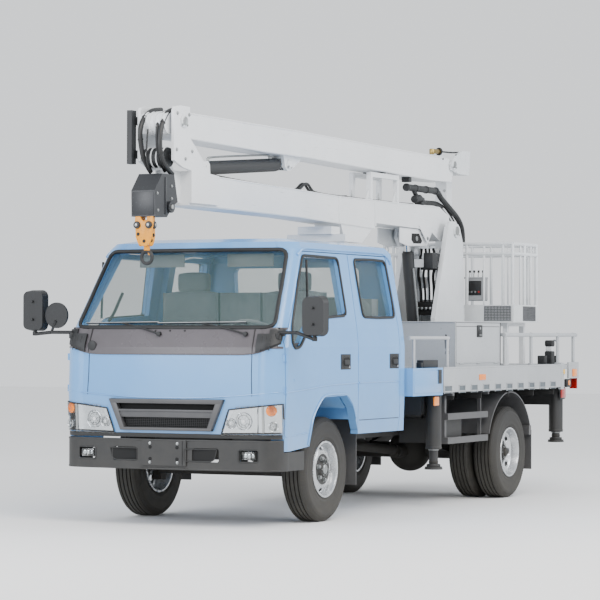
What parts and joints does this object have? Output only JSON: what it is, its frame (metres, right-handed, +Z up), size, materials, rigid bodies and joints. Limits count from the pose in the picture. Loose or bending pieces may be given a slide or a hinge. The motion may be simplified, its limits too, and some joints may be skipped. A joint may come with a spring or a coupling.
{
  "type": "cherry picker truck",
  "caption": "Crew cab truck with a slewing two-arm folding work boom, man basket, winch with hook, tool cabinet and outriggers.",
  "frame": {"origin": "centre of the overall box in plan, on the ground below the tyres", "axes": "+X forward, +Y to the truck's left, +Z up"},
  "size_m": [6.4, 2.485, 3.038],
  "materials": {
    "front_axle": "rough",
    "rear_axle": "rough",
    "chassis_frame": "satin black paint",
    "engine_block": "rough",
    "cab_shell": "gloss light blue paint",
    "cab_glass": "clear",
    "cab_interior": "grey trim",
    "cowl_panel": "grained black",
    "grille": "grey",
    "headlamps": "clear lens",
    "front_bumper": "black",
    "mirrors": "grained black",
    "deck": "silver grey paint",
    "outrigger_frames": "satin black paint",
    "side_lockers": "gloss light blue paint",
    "boom_and_basket_rests": "off-white paint",
    "tool_cabinet": "silver grey paint",
    "slew_pedestal": "satin black paint",
    "hand_rails": "silver grey paint",
    "side_guards": "silver grey paint",
    "fenders": "grained black",
    "tank_and_battery": "satin black paint",
    "tail_lamps": "lens",
    "steering_knuckle_left": "rough",
    "tyre_front_left": "moulded rubber",
    "rim_front_left": "silver paint",
    "tyre_rear_left": "moulded rubber",
    "rim_rear_left": "silver paint",
    "steering_knuckle_right": "rough",
    "tyre_front_right": "moulded rubber",
    "rim_front_right": "silver paint",
    "tyre_rear_right": "moulded rubber",
    "rim_rear_right": "silver paint",
    "front_door_left": "gloss light blue paint",
    "front_glass_left": "clear",
    "rear_door_left": "gloss light blue paint",
    "rear_glass_left": "clear",
    "front_door_right": "gloss light blue paint",
    "front_glass_right": "clear",
    "rear_door_right": "gloss light blue paint",
    "rear_glass_right": "clear",
    "cabinet_door": "silver grey paint",
    "turret": "silver grey paint",
    "lower_boom": "off-white paint",
    "winch_box": "dark slate paint",
    "elbow_fittings": "satin black paint",
    "hook_hanger": "off-white paint",
    "upper_boom": "off-white paint",
    "lift_cylinder": "black paint",
    "lift_rod": "hard chrome",
    "fold_cylinder": "black paint",
    "fold_rod": "hard chrome",
    "basket": "pale grey paint",
    "hook_block": "yellow paint",
    "outrigger_beam_left": "black paint",
    "outrigger_beam_right": "black paint",
    "front_jack_left": "black paint",
    "rear_jack_left": "black paint",
    "front_jack_right": "black paint",
    "rear_jack_right": "black paint"
  },
  "bodies": {
    "truck": {"front_axle": "front_axle", "rear_axle": "rear_axle", "chassis_frame": "chassis_frame", "engine_block": "engine_block", "cab_shell": "cab_shell", "cab_glass": "cab_glass", "cab_interior": "cab_interior", "cowl_panel": "cowl_panel", "grille": "grille", "headlamps": "headlamps", "front_bumper": "front_bumper", "mirrors": "mirrors", "deck": "deck", "outrigger_frames": "outrigger_frames", "side_lockers": "side_lockers", "boom_and_basket_rests": "boom_and_basket_rests", "tool_cabinet": "tool_cabinet", "slew_pedestal": "slew_pedestal", "hand_rails": "hand_rails", "side_guards": "side_guards", "fenders": "fenders", "tank_and_battery": "tank_and_battery", "tail_lamps": "tail_lamps"},
    "knuckle_left": {"steering_knuckle_left": "steering_knuckle_left"},
    "front_wheel_left": {"tyre_front_left": "tyre_front_left", "rim_front_left": "rim_front_left"},
    "rear_wheel_left": {"tyre_rear_left": "tyre_rear_left", "rim_rear_left": "rim_rear_left"},
    "knuckle_right": {"steering_knuckle_right": "steering_knuckle_right"},
    "front_wheel_right": {"tyre_front_right": "tyre_front_right", "rim_front_right": "rim_front_right"},
    "rear_wheel_right": {"tyre_rear_right": "tyre_rear_right", "rim_rear_right": "rim_rear_right"},
    "front_door_left_body": {"front_door_left": "front_door_left", "front_glass_left": "front_glass_left"},
    "rear_door_left_body": {"rear_door_left": "rear_door_left", "rear_glass_left": "rear_glass_left"},
    "front_door_right_body": {"front_door_right": "front_door_right", "front_glass_right": "front_glass_right"},
    "rear_door_right_body": {"rear_door_right": "rear_door_right", "rear_glass_right": "rear_glass_right"},
    "cabinet_lid": {"cabinet_door": "cabinet_door"},
    "turret_body": {"turret": "turret"},
    "lower_arm": {"lower_boom": "lower_boom", "winch_box": "winch_box", "elbow_fittings": "elbow_fittings", "hook_hanger": "hook_hanger"},
    "upper_arm": {"upper_boom": "upper_boom"},
    "lift_barrel": {"lift_cylinder": "lift_cylinder"},
    "lift_piston": {"lift_rod": "lift_rod"},
    "fold_barrel": {"fold_cylinder": "fold_cylinder"},
    "fold_piston": {"fold_rod": "fold_rod"},
    "basket_body": {"basket": "basket"},
    "hook": {"hook_block": "hook_block"},
    "beam_left": {"outrigger_beam_left": "outrigger_beam_left"},
    "beam_right": {"outrigger_beam_right": "outrigger_beam_right"},
    "front_leg_left": {"front_jack_left": "front_jack_left"},
    "rear_leg_left": {"rear_jack_left": "rear_jack_left"},
    "front_leg_right": {"front_jack_right": "front_jack_right"},
    "rear_leg_right": {"rear_jack_right": "rear_jack_right"}
  },
  "joints": [
    {"name": "steer_left", "type": "hinge", "parent": "truck", "child": "knuckle_left", "pos_m": [1.836, 0.64, 0.3875], "axis": [0, 0, 1], "range_deg": [-32, 32]},
    {"name": "front_wheel_left_spin", "type": "hinge", "parent": "knuckle_left", "child": "front_wheel_left", "pos_m": [1.836, 0.7, 0.3875], "axis": [0, 1, 0], "continuous": true},
    {"name": "rear_wheel_left_spin", "type": "hinge", "parent": "truck", "child": "rear_wheel_left", "pos_m": [-1.524, 0.724, 0.3875], "axis": [0, 1, 0], "continuous": true},
    {"name": "steer_right", "type": "hinge", "parent": "truck", "child": "knuckle_right", "pos_m": [1.836, -0.64, 0.3875], "axis": [0, 0, 1], "range_deg": [-32, 32]},
    {"name": "front_wheel_right_spin", "type": "hinge", "parent": "knuckle_right", "child": "front_wheel_right", "pos_m": [1.836, -0.7, 0.3875], "axis": [0, 1, 0], "continuous": true},
    {"name": "rear_wheel_right_spin", "type": "hinge", "parent": "truck", "child": "rear_wheel_right", "pos_m": [-1.524, -0.724, 0.3875], "axis": [0, 1, 0], "continuous": true},
    {"name": "front_door_left_hinge", "type": "hinge", "parent": "truck", "child": "front_door_left_body", "pos_m": [2.702, 0.898, 1.2], "axis": [0, 0, -1], "range_deg": [0, 70]},
    {"name": "rear_door_left_hinge", "type": "hinge", "parent": "truck", "child": "rear_door_left_body", "pos_m": [1.485, 0.898, 1.2], "axis": [0, 0, -1], "range_deg": [0, 70]},
    {"name": "front_door_right_hinge", "type": "hinge", "parent": "truck", "child": "front_door_right_body", "pos_m": [2.702, -0.898, 1.2], "axis": [0, 0, 1], "range_deg": [0, 70]},
    {"name": "rear_door_right_hinge", "type": "hinge", "parent": "truck", "child": "rear_door_right_body", "pos_m": [1.485, -0.898, 1.2], "axis": [0, 0, 1], "range_deg": [0, 70]},
    {"name": "cabinet_door_hinge", "type": "hinge", "parent": "truck", "child": "cabinet_lid", "pos_m": [-0.886, 0.899, 1.156], "axis": [-1, 0, 0], "range_deg": [0, 90]},
    {"name": "turret_slew", "type": "hinge", "parent": "truck", "child": "turret_body", "pos_m": [-1.899, 0, 1.25], "axis": [0, 0, 1], "continuous": true},
    {"name": "boom_lift", "type": "hinge", "parent": "turret_body", "child": "lower_arm", "pos_m": [-2.037, 0, 2.304], "axis": [0, -1, 0], "range_deg": [0, 75]},
    {"name": "boom_fold", "type": "hinge", "parent": "lower_arm", "child": "upper_arm", "pos_m": [2.859, 0, 2.91], "axis": [0, 1, 0], "range_deg": [0, 130]},
    {"name": "basket_level", "type": "hinge", "parent": "upper_arm", "child": "basket_body", "pos_m": [-2.154, 0, 2.9], "axis": [0, -1, 0], "range_deg": [0, 55]},
    {"name": "lift_barrel_turn", "type": "hinge", "parent": "turret_body", "child": "lift_barrel", "pos_m": [-1.614, 0, 1.35], "axis": [0, -1, 0], "range_deg": [0, 18.4]},
    {"name": "lift_rod_slide", "type": "slide", "parent": "lift_barrel", "child": "lift_piston", "axis": [0.1933, 0, 0.9811], "range_m": [0, 0.632]},
    {"name": "fold_barrel_turn", "type": "hinge", "parent": "lower_arm", "child": "fold_barrel", "pos_m": [2.346, 0, 2.605], "axis": [0, 1, 0], "range_deg": [0, 125.6]},
    {"name": "fold_rod_slide", "type": "slide", "parent": "fold_barrel", "child": "fold_piston", "axis": [-0.9968, 0, 0.0805], "range_m": [0, 1.074]},
    {"name": "hook_swing", "type": "hinge", "parent": "lower_arm", "child": "hook", "pos_m": [3.14, 0, 2.147], "axis": [0, 1, 0], "range_deg": [-20, 80]},
    {"name": "outrigger_left_slide", "type": "slide", "parent": "truck", "child": "beam_left", "axis": [0, 1, 0], "range_m": [0, 0.7]},
    {"name": "outrigger_right_slide", "type": "slide", "parent": "truck", "child": "beam_right", "axis": [0, -1, 0], "range_m": [0, 0.7]},
    {"name": "front_jack_left_slide", "type": "slide", "parent": "beam_left", "child": "front_leg_left", "axis": [0, 0, -1], "range_m": [0, 0.35]},
    {"name": "rear_jack_left_slide", "type": "slide", "parent": "truck", "child": "rear_leg_left", "axis": [0, 0, -1], "range_m": [0, 0.45]},
    {"name": "front_jack_right_slide", "type": "slide", "parent": "beam_right", "child": "front_leg_right", "axis": [0, 0, -1], "range_m": [0, 0.35]},
    {"name": "rear_jack_right_slide", "type": "slide", "parent": "truck", "child": "rear_leg_right", "axis": [0, 0, -1], "range_m": [0, 0.45]}
  ],
  "couplings": [
    {"joint": "steer_right", "follows": "steer_left", "ratio": 1},
    {"joint": "boom_fold", "follows": "boom_lift", "ratio": 1.7333},
    {"joint": "basket_level", "follows": "boom_lift", "ratio": 0.73333},
    {"joint": "lift_barrel_turn", "follows": "boom_lift", "ratio": 0.2448},
    {"joint": "lift_rod_slide", "follows": "boom_lift", "m_per_rad": 0.4813},
    {"joint": "fold_barrel_turn", "follows": "boom_lift", "ratio": 1.672},
    {"joint": "fold_rod_slide", "follows": "boom_lift", "m_per_rad": 0.819}
  ]
}
